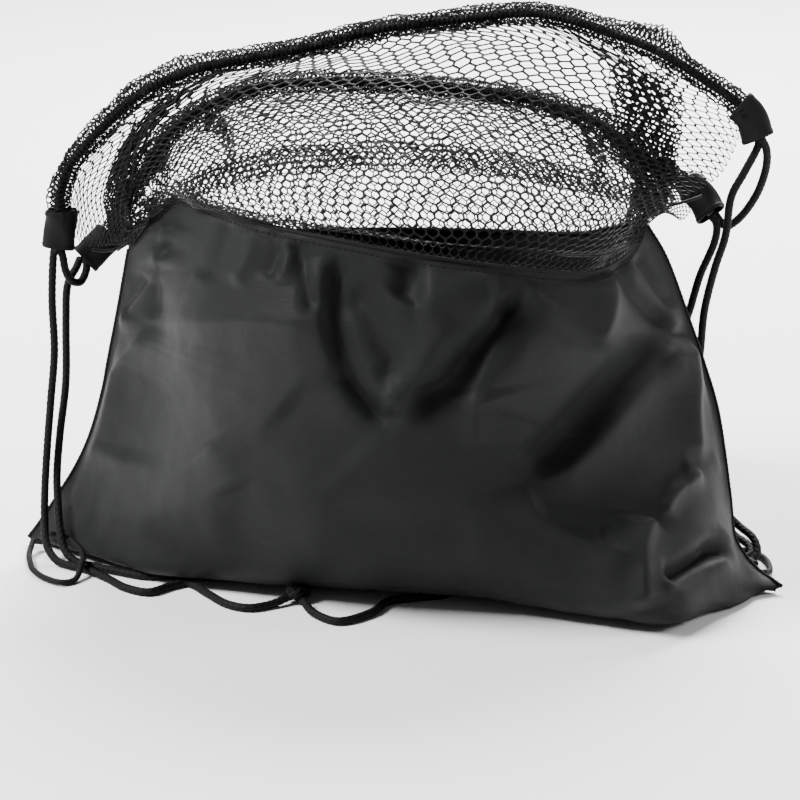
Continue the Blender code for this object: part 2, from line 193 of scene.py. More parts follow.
FRONT_NET_ROWS = (
    ((-143, 9, 159), (-138, -4, 182), (-112, -24, 204), (-85, -50, 212), (-50, -77, 216),
     (0, -91, 212), (45, -87, 207), (85, -67, 198), (112, -36, 191), (128, -17, 188),
     (137, -11, 187)),
    ((-156, 13, 158), (-153, 5, 187), (-132, -2, 214), (-100, -14, 229), (-60, -30, 239),
     (0, -46, 243), (45, -43, 242), (90, -31, 233), (122, -20, 221), (145, -17, 209),
     (156, -16, 201)),
)
BACK_NET_ROWS = (
    ((-141, 24, 153), (-127, 58, 168), (-95, 92, 176), (-50, 117, 177), (0, 126, 177),
     (50, 119, 177), (92, 93, 175), (119, 54, 173), (133, 4, 177)),
    ((-143, 40, 149), (-132, 66, 171), (-102, 88, 195), (-60, 107, 204), (0, 114, 205),
     (50, 111, 201), (93, 93, 191), (123, 64, 178), (140, 14, 171)),
)
FRONT_HEM = (
    (-170.5, 15, 157), (-168.5, 15, 170), (-168.5, 15, 183), (-164, 15, 197.5), (-154.5, 14, 209.5),
    (-140, 13, 224.5), (-124, 13, 237), (-98, 13, 247.5), (-69, 14, 253), (-39, 15, 259),
    (-10, 15, 266.5), (30, 15, 271.5), (60, 12, 275), (80, 8, 273), (100, 2, 267.5), (120, -3, 261),
    (136, -8, 253), (149, -12, 245), (160, -15, 238), (168, -17.5, 231), (173.5, -19, 219),
)
BACK_HEM = (
    (-159, 30, 147), (-149, 33, 156), (-141, 38, 168), (-134, 45, 181), (-126, 52, 195),
    (-115, 58, 208), (-99, 64, 218), (-75, 70, 227), (-50, 74, 229), (-20, 77, 229),
    (10, 78.5, 227), (40, 78, 224), (70, 75, 219.5), (98, 66, 211), (118, 52, 199), (134, 38, 190),
    (147, 26, 184), (155, 18, 173),
)
CORD_ROUTES = {
    "left_front_cord": (
        (-172.8, 15, 152.5), (-174, 14, 130), (-173.5, 13, 104), (-176, 12, 78), (-178, 9, 56),
        (-179.5, 5, 34), (-179.5, -1, 18), (-178, -9, 9), (-173, -16, 3.4), (-166, -21.5, 2.1),
        (-156, -28.5, 2.1), (-145, -41, 2.1), (-135, -55, 2.1), (-123, -62, 2.1),
        (-113, -53, 2.1), (-104, -49, 2.1), (-94, -64, 2.1), (-84, -79, 2.1), (-73, -85, 2.1),
        (-62, -80, 2.3), (-54.6, -74.6, 3.8),
    ),
    "left_back_cord": (
        (-162.8, 28.5, 143.5), (-167.5, 27, 134), (-168.5, 25, 116), (-169, 21, 86), (-172, 15, 61),
        (-173.5, 9, 42), (-173, 3, 28), (-171.5, -4.5, 16), (-168.5, -11.5, 6.6), (-162, -17, 2.3),
        (-153, -23, 2.1), (-142, -30, 2.1), (-126, -38, 2.1), (-110, -37, 2.1), (-80, -41, 2.1),
        (-40, -46, 2.1), (-10, -48, 2.1), (10, -48, 2.1), (23, -54, 2.1), (22, -65, 2.1),
        (8, -70, 2.1), (-6, -76, 2.1), (-14, -92, 2.1), (-29, -104, 2.1), (-41, -93, 2.1),
        (-46.8, -78.5, 3.2),
    ),
    "right_front_cord": (
        (173, -17.5, 214), (167, -15.5, 201), (161.5, -12, 188), (160, -5, 167.5), (156, 2, 149.6),
        (152, 9, 126.5), (151, 15, 104), (150, 21, 85), (151, 24, 62), (155, 20, 40), (162, 12, 24),
        (171, 3, 15.5), (177.5, -6, 12), (179.5, -13.5, 7), (176, -18.5, 2.9), (170, -18, 2.1),
        (164.5, -15.8, 2.3), (162.3, -13.6, 3.1),
    ),
    "right_back_cord": (
        (157.5, 14.5, 168.2), (156.5, 17, 158), (150.5, 22, 140.7), (146, 25, 122), (142.5, 30, 108),
        (141.5, 36, 88), (146, 38, 60), (153, 31, 34), (161, 21, 16.5), (169.5, 9.5, 8.5),
        (176, 0.5, 5.8), (176.8, -7, 2.9), (171.5, -9.5, 2.1), (166.2, -8.6, 2.9),
    ),
}
BRIDGE_ROUTES = {
    "left_bridge_cord": (
        (-168.2, 15, 152.5), (-167.2, 16.5, 145), (-165, 21, 138.5), (-160.8, 25.5, 136.5),
        (-158, 28.4, 141.5),
    ),
    "right_bridge_cord": (
        (177.4, -18.5, 213), (178, -13, 203), (175.5, -3, 189), (170, 7, 176), (163.6, 14, 168),
        (160.8, 16.5, 168.2),
    ),
}
CORNER_LOOPS = {
    "left_corner_loop": (
        (-186.5, 6, 6), (-187.5, -4, 2.4), (-186, -15, 1.9), (-183, -28, 1.9), (-176, -40, 1.9),
        (-167, -47, 1.9), (-160.5, -42, 2), (-158.4, -32, 6.2), (-158.4, -23, 6.8),
        (-160.6, -14.5, 8.2), (-166, -6.5, 10.4), (-173, -0.5, 11), (-180, 4.5, 10),
    ),
    "right_corner_loop": (
        (179.5, -45, 6.5), (182.5, -37, 4), (184.5, -27, 1.8), (184.5, -14, 1.8), (181, -3, 1.8),
        (175, 2.5, 1.8), (169, -0.5, 4.4), (167.6, -8, 7.4), (170, -17, 7.6), (172.5, -27, 7.8),
        (174.5, -36, 8.8), (175.8, -42.5, 10),
    ),
}
KNOTS = {"left_cord_knot": (-50, -71, 4.8), "right_cord_knot": (161.3, -8, 4.8)}
KNOT_STRANDS = {
    "left_cord_knot": ("left_front_cord", "left_back_cord"),
    "right_cord_knot": ("right_front_cord", "right_back_cord"),
}

# Where each free cord comes out of its cuff, and where a bridge goes into the next one.
LEAD_INS = {
    "left_front_cord": (-170.6, 12.9, 157.5),
    "left_back_cord": (-161, 31.4, 147.5),
    "right_front_cord": (173.6, -16.9, 219.5),
    "right_back_cord": (154.6, 15.9, 173),
    "left_bridge_cord": (-170.3, 17.1, 157.5),
    "right_bridge_cord": (174.2, -21, 219.8),
}
LEAD_OUTS = {"left_bridge_cord": (-157.6, 28.6, 147.8), "right_bridge_cord": (156.8, 18.6, 173.2)}

# Folds of the panels: kind, reach to the left and right of the line, height (a ridge stands out, a
# valley is negative), and the line in (x, v).
FRONT_FOLDS = (
    # the swag under the net's seam: its left arm, the ridge beside it, and its wide right arm
    ("crease", 9, 3.5, -4.0, ((-31, 154.3), (-33.5, 131.8), (-33.5, 117.3), (-31, 102.3), (-26, 86.8),
     (-17, 74.8), (-9.5, 68.3), (-3.5, 70.3), (2, 73.3))),
    ("crease", 5, 14, 2.2, ((-38, 150), (-40, 128.8), (-39, 117.8), (-35, 102.8), (-29, 86.8))),
    ("crease", 24, 5, 3.6, ((69, 138.8), (60, 123.3), (51.5, 111.3), (42.5, 94.8), (35.5, 80.8),
     (33, 72))),
    ("round", 9, 7, -5.0, ((66, 135), (47.5, 112.3), (35.5, 98.8), (26, 86.8), (12, 78.8), (0, 71.8))),
    ("round", 14, 14, 3.0, ((8, 130), (30, 130), (50, 134))),
    ("round", 8, 8, 2.0, ((-6, 72), (2, 86), (15, 104), (27, 119))),
    ("round", 9, 9, -2.6, ((-29, 134), (-17, 125.8), (-8.5, 107.3), (-2.5, 96.8), (-8, 80))),
    ("round", 8, 8, -2.8, ((2, 152), (5, 140), (0, 128))),
    # soft upright folds under the seam at the left, and the crease where the fabric leaves the ball
    ("crease", 4, 5, -2.2, ((-52, 160), (-48, 144), (-44, 127), (-42, 120))),
    ("crease", 5, 5, 1.8, ((-57, 163), (-55, 150), (-58, 136))),
    ("crease", 4, 4, -1.6, ((-63, 166), (-61, 154), (-66, 138))),
    ("crease", 5, 6, 1.4, ((-72, 170), (-74, 152), (-82, 134))),
    ("crease", 6, 5, -1.4, ((-86, 172), (-90, 154), (-98, 138))),
    ("crease", 30, 11, 2.4, ((-120, 115.5), (-100, 117.8), (-70, 118.8), (-50, 116.3), (-36, 117))),
    # the crumpled left edge, and the long soft edge below it
    ("crease", 24, 8, 3.2, ((-124, 117), (-128, 106.8), (-135.5, 97.8), (-144.5, 86.3), (-150, 72.8),
     (-157.5, 59.8), (-164, 47))),
    ("crease", 5, 7, 2.4, ((-141, 113.8), (-130, 128.8), (-121, 141.3), (-117.5, 158.8))),
    ("crease", 4, 4, -2.4, ((-113, 160), (-120, 143), (-123, 128), (-123, 118))),
    ("crease", 5, 5, 1.8, ((-113, 168), (-117, 156), (-119, 144))),
    ("crease", 4, 5, -1.8, ((-138, 122), (-132, 132), (-127, 143))),
    # soft dents low on the left
    ("round", 16, 16, 0.9, ((-116, 96), (-98, 82), (-80, 44))),
    ("round", 18, 18, -1.4, ((-122, 92), (-134, 70), (-140, 48))),
    ("round", 8, 12, 1.3, ((-96, 58), (-86, 46), (-80, 34))),
    ("round", 14, 14, -1.8, ((-60, 78), (-40, 62), (-24, 44))),
    ("round", 16, 16, 1.8, ((-150, 30), (-120, 22), (-80, 20))),
    ("round", 14, 14, -1.6, ((-40, 18), (0, 14), (40, 16))),
    # the facet right of the swag, and the dent at its foot
    ("crease", 9, 18, 3.0, ((102, 146), (104, 132), (102, 119), (94, 104))),
    ("crease", 20, 7, 2.4, ((35, 84), (37, 70), (35.5, 54))),
    # the long creases that run from the right edge to the sharp corner low on the right
    ("crease", 28, 7, 4.4, ((141.5, 111.3), (127.5, 98.8), (112.5, 81.3), (95, 58.8), (80, 43.8),
     (63.5, 34.8))),
    ("round", 9, 9, -3.8, ((132, 110), (115, 97), (99, 82), (86, 66.3), (71, 51.3), (58, 40))),
    ("crease", 6, 18, 3.4, ((61, 38), (65.5, 23.8), (73, 17.3), (84, 10.3), (100, 2.8), (120, -4))),
    ("crease", 7, 18, 3.4, ((141.5, 111.3), (142.5, 88.8), (144.5, 63.8), (148, 44.8))),
    ("round", 7, 7, 1.0, ((138, 42), (149, 45), (160, 50))),
    ("crease", 7, 5, 2.4, ((129, 18.3), (136.5, 32.3), (149.5, 42.3))),
    # the pocket and the flap at the right-hand corner
    ("crease", 6, 14, 4.6, ((124, 20), (120.5, 4.3), (122, -11.2), (125, -26))),
    ("round", 6, 7, -5.0, ((131, -10), (145, -4), (157, 4), (165, 10))),
    ("crease", 4, 5, 2.4, ((131.5, -16), (149.5, -4.7), (167, -0.7))),
    ("crease", 3, 3, -1.2, ((100, 15.8), (101, 10), (99.5, 6.8))),
    # streaks under the seam's right end
    ("crease", 5, 5, 1.5, ((110, 153), (118.5, 134), (130, 124), (140, 112))),
    ("crease", 5, 5, -2.6, ((103, 149), (112, 137), (124, 124), (136, 114))),
    ("crease", 4, 4, -1.6, ((116, 152), (126, 138), (136, 124))),
)
BACK_FOLDS = (
    ("crease", 7, 7, -4.2, ((-70, 168), (-58, 140), (-30, 118), (0, 112))),
    ("crease", 7, 7, 3.8, ((-20, 172), (-34, 148), (-52, 120), (-60, 92))),
    ("crease", 8, 8, -4.2, ((60, 174), (48, 148), (24, 126), (4, 116))),
    ("crease", 7, 7, 3.5, ((84, 170), (70, 140), (66, 110))),
    ("crease", 9, 9, 3.8, ((-128, 130), (-96, 104), (-60, 84), (-20, 74))),
    ("round", 9, 9, -3.8, ((-124, 112), (-92, 88), (-58, 68))),
    ("crease", 8, 8, 3.8, ((140, 118), (112, 92), (80, 70), (50, 62))),
    ("round", 9, 9, -3.5, ((136, 98), (108, 72), (80, 54))),
    ("crease", 6, 6, -3.2, ((-140, 84), (-128, 60), (-120, 40))),
    ("crease", 6, 6, 3.2, ((146, 74), (132, 56), (126, 38))),
)

# Pleats of the nets: share across at the binding and at the hem, overlap at both, and the first and
# last share up. A billow is the same turned by a quarter.
FRONT_PLEATS = (
    (0.01, 0.13, 0.03, 0.03, 0.2, 0.9),
    (0.06, 0.22, 0.05, 0.045, 0.0, 1.0),
    (0.14, 0.33, 0.06, 0.05, 0.1, 1.0),
    (0.84, 0.69, 0.05, 0.045, 0.0, 1.0),
    (0.92, 0.79, 0.035, 0.045, 0.1, 1.0),
    (0.97, 0.89, 0.02, 0.045, 0.1, 1.0),
)
BACK_PLEATS = (
    (0.10, 0.16, 0.03, 0.04, 0.0, 1.0),
    (0.30, 0.28, 0.0, 0.03, 0.5, 1.0),
    (0.72, 0.74, 0.0, 0.03, 0.5, 1.0),
    (0.88, 0.84, 0.03, 0.04, 0.0, 1.0),
)
FRONT_BILLOWS = ((0.10, 0.07, 0.10, 0.03, 0.0, 0.24),)
BACK_BILLOWS = ((0.42, 0.40, 0.14, 0.14, 0.0, 1.0),)

COLOURS = {
    "coated_fabric": (0.007, 0.0075, 0.0075),
    "net": (0.0016, 0.0016, 0.0018),
    "webbing": (0.0025, 0.0025, 0.0025),
    "cord": (0.0014, 0.0014, 0.0016),
}


# ---------------------------------------------------------------- curves

def smooth_curve(points):
    """Samples of a Catmull-Rom curve through the points."""
    route = np.array(points, float)
    padded = np.vstack([2 * route[0] - route[1], route, 2 * route[-1] - route[-2]])
    samples = []
    for index in range(1, len(padded) - 2):
        before, start, end, after = padded[index - 1 : index + 3]
        for step in range(SMOOTH_STEPS):
            t = step / SMOOTH_STEPS
            samples.append(
                0.5 * (2 * start + (end - before) * t
                       + (2 * before - 5 * start + 4 * end - after) * t**2
                       + (3 * start - before - 3 * end + after) * t**3)
            )
    samples.append(route[-1])
    return np.array(samples)


def run_of(curve):
    """Distance along a line of points."""
    return np.concatenate([[0], np.cumsum(np.linalg.norm(np.diff(curve, axis=0), axis=1))])


def rows_at(wanted, along, rows):
    """Rows at the wanted distances, from rows listed at the distances along."""
    return np.stack([np.interp(wanted, along, column) for column in rows.T], axis=1)


def even_points(points, count, start=0.0, end=None):
    """Evenly spaced points on the smooth curve, between two distances along it."""
    curve = smooth_curve(points)
    along = run_of(curve)
    return rows_at(np.linspace(start, along[-1] if end is None else end, count), along, curve)


def length_of(points):
    return float(run_of(smooth_curve(points))[-1])


def unit(vectors):
    return vectors / np.maximum(np.linalg.norm(vectors, axis=-1, keepdims=True), 1e-12)


def across(line, way):
    """The part of each direction that is square to the line's own run."""
    run = unit(np.gradient(line, axis=0))
    return unit(way - run * (run * way).sum(axis=1, keepdims=True))


def stand_off(from_line, towards, reach):
    return from_line + reach * across(from_line, towards - from_line)


def smoothstep(low, high, value):
    t = np.clip((value - low) / (high - low), 0, 1)
    return t * t * (3 - 2 * t)


def side_frames(line, first_side):
    """Two directions square to the line at each point, carried along it without twist."""
    run = unit(np.gradient(line, axis=0))
    side = unit(np.array(first_side, float) - run[0] * np.dot(run[0], first_side))
    sides = []
    for direction in run:
        side = unit(side - direction * np.dot(side, direction))
        sides.append(side)
    sides = np.array(sides)
    return sides, np.cross(run, sides)


def fade(reach, share):
    """Rises from 0 at both ends of the share to 1 by the reach."""
    return smoothstep(0, reach, share) * smoothstep(0, reach, 1 - share)


def soft_noise(points, scale, seed):
    """Smooth noise from NOISE_WAVES sine waves in seeded random directions, about -1 to 1."""
    chooser = np.random.default_rng(seed)
    total = np.zeros(points.shape[:-1])
    for _ in range(NOISE_WAVES):
        direction = unit(chooser.normal(size=3))
        wave = chooser.uniform(0.7, 1.6) / scale
        total += np.sin(points @ direction * wave * 2 * np.pi + chooser.uniform(0, 2 * np.pi))
    return total / NOISE_SPAN


def relief(points, waves):
    """Soft noise at several heights and wavelengths."""
    return sum(height * soft_noise(points, scale, seed) for height, scale, seed in waves)


# ---------------------------------------------------------------- materials

def new_material(kind, roughness):
    """A material with a Principled shader; returns it with its nodes, links and shader."""
    made = bpy.data.materials.new(kind)
    made.use_nodes = True
    nodes, links = made.node_tree.nodes, made.node_tree.links
    shader = nodes["Principled BSDF"]
    shader.inputs["Base Color"].default_value = (*COLOURS[kind], 1.0)
    shader.inputs["Roughness"].default_value = roughness
    return made, nodes, links, shader


def math_node(nodes, links, operation, first, second):
    node = nodes.new("ShaderNodeMath")
    node.operation = operation
    for socket, value in zip(node.inputs, (first, second)):
        if isinstance(value, (int, float)):
            socket.default_value = value
        else:
            links.new(value, socket)
    return node.outputs[0]


def noise_node(nodes, links, vector, scale, detail=3.0):
    node = nodes.new("ShaderNodeTexNoise")
    node.inputs["Scale"].default_value = scale
    node.inputs["Detail"].default_value = detail
    links.new(vector, node.inputs["Vector"])
    return node.outputs["Fac"]


def wave_node(nodes, links, vector, direction, scale):
    node = nodes.new("ShaderNodeTexWave")
    node.bands_direction = direction
    node.inputs["Scale"].default_value = scale
    node.inputs["Distortion"].default_value = 0.4
    links.new(vector, node.inputs["Vector"])
    return node.outputs["Fac"]


def colour_ramp(nodes, links, factor, low, high):
    node = nodes.new("ShaderNodeMix")
    node.data_type = "RGBA"
    links.new(factor, node.inputs["Factor"])
    node.inputs["A"].default_value = (*low, 1.0)
    node.inputs["B"].default_value = (*high, 1.0)
    return node.outputs["Result"]


def value_range(nodes, links, factor, low, high):
    node = nodes.new("ShaderNodeMapRange")
    links.new(factor, node.inputs["Value"])
    node.inputs["To Min"].default_value = low
    node.inputs["To Max"].default_value = high
    return node.outputs["Result"]


def bump(nodes, links, shader, height, distance, strength=1.0):
    node = nodes.new("ShaderNodeBump")
    node.inputs["Distance"].default_value = distance
    node.inputs["Strength"].default_value = strength
    links.new(height, node.inputs["Height"])
    links.new(node.outputs["Normal"], shader.inputs["Normal"])


def coated_fabric():
    """Tightly woven nylon with a thin coating: soft sheen, fine weave, faint mottling and crumple."""
    made, nodes, links, shader = new_material("coated_fabric", 0.42)
    shader.inputs["Specular IOR Level"].default_value = 0.11
    shader.inputs["Sheen Weight"].default_value = 0.03
    shader.inputs["Sheen Roughness"].default_value = 0.4
    flat = nodes.new("ShaderNodeUVMap").outputs["UV"]
    place = nodes.new("ShaderNodeTexCoord").outputs["Object"]
    mottle = noise_node(nodes, links, place, 28.0)
    fine = noise_node(nodes, links, place, 900.0, 2.0)
    tone = colour_ramp(nodes, links, mottle, (0.0045, 0.0046, 0.0054), (0.0085, 0.0094, 0.0085))
    links.new(tone, shader.inputs["Base Color"])
    rough = value_range(nodes, links, mottle, 0.37, 0.49)
    links.new(rough, shader.inputs["Roughness"])
    warp = wave_node(nodes, links, flat, "X", THREAD_SCALE)
    weft = wave_node(nodes, links, flat, "Y", THREAD_SCALE)
    weave = math_node(nodes, links, "MULTIPLY", warp, weft)
    crumple = noise_node(nodes, links, place, 120.0, 2.0)
    height = math_node(nodes, links, "MULTIPLY_ADD", fine, 0.6)
    links.new(math_node(nodes, links, "MULTIPLY_ADD", crumple, 5.0), height.node.inputs[2])
    both = math_node(nodes, links, "ADD", height, weave)
    stretched = nodes.new("ShaderNodeMapping")
    stretched.inputs["Scale"].default_value = SLUB_SCALE
    links.new(place, stretched.inputs["Vector"])
    streaks = noise_node(nodes, links, stretched.outputs["Vector"], 1.0)
    slub = math_node(nodes, links, "MULTIPLY", streaks, 1.4)
    bump(nodes, links, shader, math_node(nodes, links, "ADD", both, slub), 0.00009)
    return made


def yarn(kind, roughness, scale):
    """Spun or knitted polyester: matte, with fine fibre lines and a dusty variation."""
    made, nodes, links, shader = new_material(kind, roughness)
    shader.inputs["Sheen Weight"].default_value = 0.01
    shader.inputs["Sheen Roughness"].default_value = 0.5
    shader.inputs["Specular IOR Level"].default_value = 0.15
    place = nodes.new("ShaderNodeTexCoord").outputs["Object"]
    dust = noise_node(nodes, links, place, 60.0)
    base = COLOURS[kind]
    tone = colour_ramp(nodes, links, dust, tuple(0.7 * c for c in base), tuple(1.6 * c for c in base))
    links.new(tone, shader.inputs["Base Color"])
    links.new(value_range(nodes, links, dust, roughness - 0.08, roughness + 0.08),
              shader.inputs["Roughness"])
    fibre = noise_node(nodes, links, place, scale, 2.0)
    bump(nodes, links, shader, fibre, 0.00025, 0.7)
    return made


MATERIALS = {
    "coated_fabric": coated_fabric(),
    "net": yarn("net", 0.62, 2200.0),
    "webbing": yarn("webbing", 0.7, 1500.0),
    "cord": yarn("cord", 0.68, 1800.0),
}


# ---------------------------------------------------------------- meshes

def new_object(name, data):
    obj = bpy.data.objects.new(name, data)
    bpy.context.scene.collection.objects.link(obj)
    return obj


def piece(name, vertices, faces, kind, body="root", uvs=None):
    """A new mesh object from points in millimetres, with its material, slot and body.

    It replaces the CAD node of the same name, where there is one.
    """
    mesh = bpy.data.meshes.new(f"{name}_look")
    mesh.from_pydata((np.asarray(vertices) * MM).tolist(), [], faces)
    if uvs is not None:
        layer = mesh.uv_layers.new(name="flat")
        corners = np.empty(len(mesh.loops), int)
        mesh.loops.foreach_get("vertex_index", corners)
        layer.data.foreach_set("uv", (np.asarray(uvs)[corners] * MM).ravel())
    mesh.validate()
    mesh.shade_smooth()
    obj = new_object(f"{name}_look", mesh)
    mesh.materials.append(MATERIALS[kind])
    if body:
        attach(obj, body)
    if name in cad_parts:
        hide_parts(name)
    return obj


def apply_modifiers(obj):
    """Replaces the object's mesh by what its modifiers make of it."""
    graph = bpy.context.evaluated_depsgraph_get()
    made = bpy.data.meshes.new_from_object(obj.evaluated_get(graph))
    obj.modifiers.clear()
    obj.data = made


def thicken(obj, thickness):
    solidify = obj.modifiers.new("thickness", "SOLIDIFY")
    solidify.thickness = thickness * MM
    solidify.offset = 0.0
    apply_modifiers(obj)
    obj.data.shade_smooth()


def grid_faces(rows, columns, closed=False):
    """Quads of a grid of points listed row by row; closed joins the last column to the first."""
    index = np.arange(rows * columns).reshape(rows, columns)
    left = index if closed else index[:, :-1]
    right = np.roll(index, -1, axis=1) if closed else index[:, 1:]
    quads = np.stack([left[:-1], right[:-1], right[1:], left[1:]], axis=-1)
    return quads.reshape(-1, 4)


def turns(sides):
    return np.linspace(0, 2 * np.pi, sides, endpoint=False)


def rings(line, reach, frames, caps=True):
    """Points and faces of a tube: reach is the radius at each point of the line and each angle."""
    sides = reach.shape[1]
    angles = turns(sides)
    side, other = frames
    points = (line[:, None, :] + (reach * np.cos(angles))[..., None] * side[:, None, :]
              + (reach * np.sin(angles))[..., None] * other[:, None, :])
    faces = grid_faces(len(line), sides, closed=True)[:, ::-1].tolist()
    if caps:
        last = (len(line) - 1) * sides
        faces += [list(range(sides)), list(range(last + sides - 1, last - 1, -1))]
    return points.reshape(-1, 3), faces


def tube(name, line, radius, kind, sides, body="root", caps=True, aspect=(1.0, 1.0)):
    """A tube round the line. radius is a function of distance along and angle."""
    reach = np.broadcast_to(radius(run_of(line)[:, None], turns(sides)), (len(line), sides))
    side, other = side_frames(line, BACKWARDS)
    frames = (side * aspect[0], other * aspect[1])
    return piece(name, *rings(line, reach, frames, caps), kind, body)


def braid(along, angle):
    """Radius of a round braid: two sets of strands that cross over and under each other."""
    turn = BRAID_STRANDS * angle
    advance = 2 * np.pi * along / BRAID_PITCH
    weave = np.maximum(np.sin(turn + advance), np.sin(turn - advance))
    return CORD_RADIUS * (BRAID_CORE + BRAID_RELIEF * weave)


def twisted(along, angle):
    """Radius of a corner loop: six ply that turn slowly round it."""
    return LOOP_RADIUS * (0.95 + 0.1 * np.sin(6 * angle + along * 2.4))


def braided(name, line, body="root"):
    return tube(name, line, braid, "cord", 24, body)


def fine_line(route, step):
    return even_points(route, max(4, round(length_of(route) / step)))


# ---------------------------------------------------------------- lower panels

def front_view(points):
    """Where the raised camera sees points, as x and height at the distance of what it aims at."""
    rise, lean = math.cos(CAMERA_ELEVATION), math.sin(CAMERA_ELEVATION)
    above = points[..., 2] - AIM[2] / MM
    nearer = (above * lean - points[..., 1] * rise) * MM / CAMERA_DISTANCE
    height = above * rise + points[..., 1] * lean
    return np.stack([points[..., 0] / (1 - nearer), AIM[2] / MM * rise + height / (1 - nearer)], axis=-1)


def distance_to(line, places):
    """Distance from each place to a line, the share of the line run by then, and 1 on its left side."""
    best = np.full(places.shape[:-1], 1e9)
    share = np.zeros(places.shape[:-1])
    side = np.zeros(places.shape[:-1])
    along = run_of(line)
    for index in range(len(line) - 1):
        start, step = line[index], line[index + 1] - line[index]
        t = np.clip(((places - start) @ step) / (step @ step), 0, 1)
        gap = places - start - t[..., None] * step
        distance = np.linalg.norm(gap, axis=-1)
        closer = distance < best
        best = np.where(closer, distance, best)
        length = np.linalg.norm(step)
        leftwards = (step[0] * gap[..., 1] - step[1] * gap[..., 0]) / length
        side = np.where(closer, smoothstep(-SIDE_BLEND, SIDE_BLEND, leftwards), side)
        share = np.where(closer, (along[index] + t * length) / along[-1], share)
    return best, share, side


def fold_height(folds, points, mirrored=False):
    """How far each point of a panel stands out of it, from all the folds."""
    places = front_view(points * np.array((1, -1, 1)) if mirrored else points)
    total = np.zeros(places.shape[:-1])
    for kind, left_reach, right_reach, height, route in folds:
        flat = smooth_curve([(x, v, 0) for x, v in route])[::3, :2]
        distance, share, side = distance_to(flat, places)
        reach = right_reach + (left_reach - right_reach) * side
        if kind == "crease":
            rounded = np.sqrt(distance**2 + FOLD_ROUNDING) - FOLD_TOP
            profile = np.exp(-rounded / reach * FOLD_SHARPNESS)
        else:
            profile = np.exp(-((distance / reach) ** 2))
        ends = (smoothstep(0, FOLD_START, share + FOLD_LEAD)
                * smoothstep(0, FOLD_END, 1 + FOLD_LEAD - share))
        total += FOLD_DEPTH * height * profile * ends
    return total


def seam_point(seam, height):
    curve = smooth_curve(seam)
    x = np.interp(height, curve[:, 2], curve[:, 0])
    y = np.interp(height, curve[:, 2], curve[:, 1])
    return (x, y, height)


def lanes_through(lines, columns, steps):
    lanes = [even_points([line[column] for line in lines], steps) for column in range(columns)]
    return np.array(lanes).transpose(1, 0, 2)


def facing(grid, outwards):
    """Normals of a panel's grid, on the side that it faces: 1 is backwards and -1 forwards."""
    normals = unit(np.cross(np.gradient(grid, axis=1), np.gradient(grid, axis=0)))
    return normals if (normals[..., 1].mean() > 0) == (outwards > 0) else -normals


def lower_panel(name, rows, binding, folds, outwards):
    """A fabric panel through its rows, from the bottom seam to the net's binding, with its folds.

    Returns the line that its stitches follow, and the normals there.
    """
    columns, steps = FABRIC_COLUMNS, FABRIC_STEPS
    lines = [even_points(BOTTOM_SEAM, columns)]
    for left_height, right_height, middle in rows:
        left = seam_point(LEFT_SEAM, left_height)
        right = seam_point(RIGHT_SEAM, right_height)
        lines.append(even_points((left, *middle, right), columns))
    lines.append(even_points(binding, columns))
    grid = lanes_through(lines, columns, steps)
    for edge_column, seam in ((0, LEFT_SEAM), (-1, RIGHT_SEAM)):
        edge = grid[:, edge_column].copy()
        shift = np.array([seam_point(seam, max(point[2], seam[0][2])) for point in edge]) - edge
        shift[:, 2] = 0
        shift *= smoothstep(0, SEAM_PULL_START, np.linspace(0, 1, steps))[:, None]
        away = np.linspace(0, 1, columns) if edge_column == 0 else np.linspace(1, 0, columns)
        grid += shift[:, None, :] * (1 - smoothstep(0, SEAM_PULL, away))[None, :, None]
    normals = facing(grid, outwards)
    height = fold_height(folds, grid, mirrored=outwards > 0) + relief(grid, FABRIC_RELIEF)
    across_share = np.linspace(0, 1, columns)[None, :]
    up_share = np.linspace(0, 1, steps)[:, None]
    edge = (fade(FLAT_EDGE, across_share) * smoothstep(0, FLAT_FOOT, up_share)
            * smoothstep(0, FLAT_EDGE, 1 - up_share))
    grid = grid + normals * (height * edge)[..., None]
    grid[..., 2] = np.maximum(grid[..., 2], FLOOR_CLEARANCE)
    flat = np.stack(np.broadcast_arrays(across_share * FLAT_WIDTH, up_share * LOWER_HEIGHT), axis=-1)
    faces = grid_faces(steps, columns).tolist()
    made = piece(name, grid.reshape(-1, 3), faces, "coated_fabric", uvs=flat.reshape(-1, 2))
    thicken(made, FABRIC_THICKNESS)
    outward = normals[STITCH_ROW]
    return grid[STITCH_ROW] + FABRIC_THICKNESS / 2 * outward, outward


# ---------------------------------------------------------------- nets

def cell_corners():
    """Corners of one cell's hole, anticlockwise from its lower right, inset by half the yarn."""
    half, side = CELL_PERIOD / 2, CELL_SIDE / 2
    tip = side + CELL_SPACING - CELL_SIDE
    corners = np.array(((half, -side), (half, side), (0, tip), (-half, side), (-half, -side), (0, -tip)))
    edges = unit(np.roll(corners, -1, axis=0) - corners)
    inward = np.stack([-edges[:, 1], edges[:, 0]], axis=1)
    before = np.roll(inward, 1, axis=0)
    lean = (before + inward) / (1 + (before * inward).sum(axis=1, keepdims=True))
    return corners + lean * YARN_WIDTH / 2


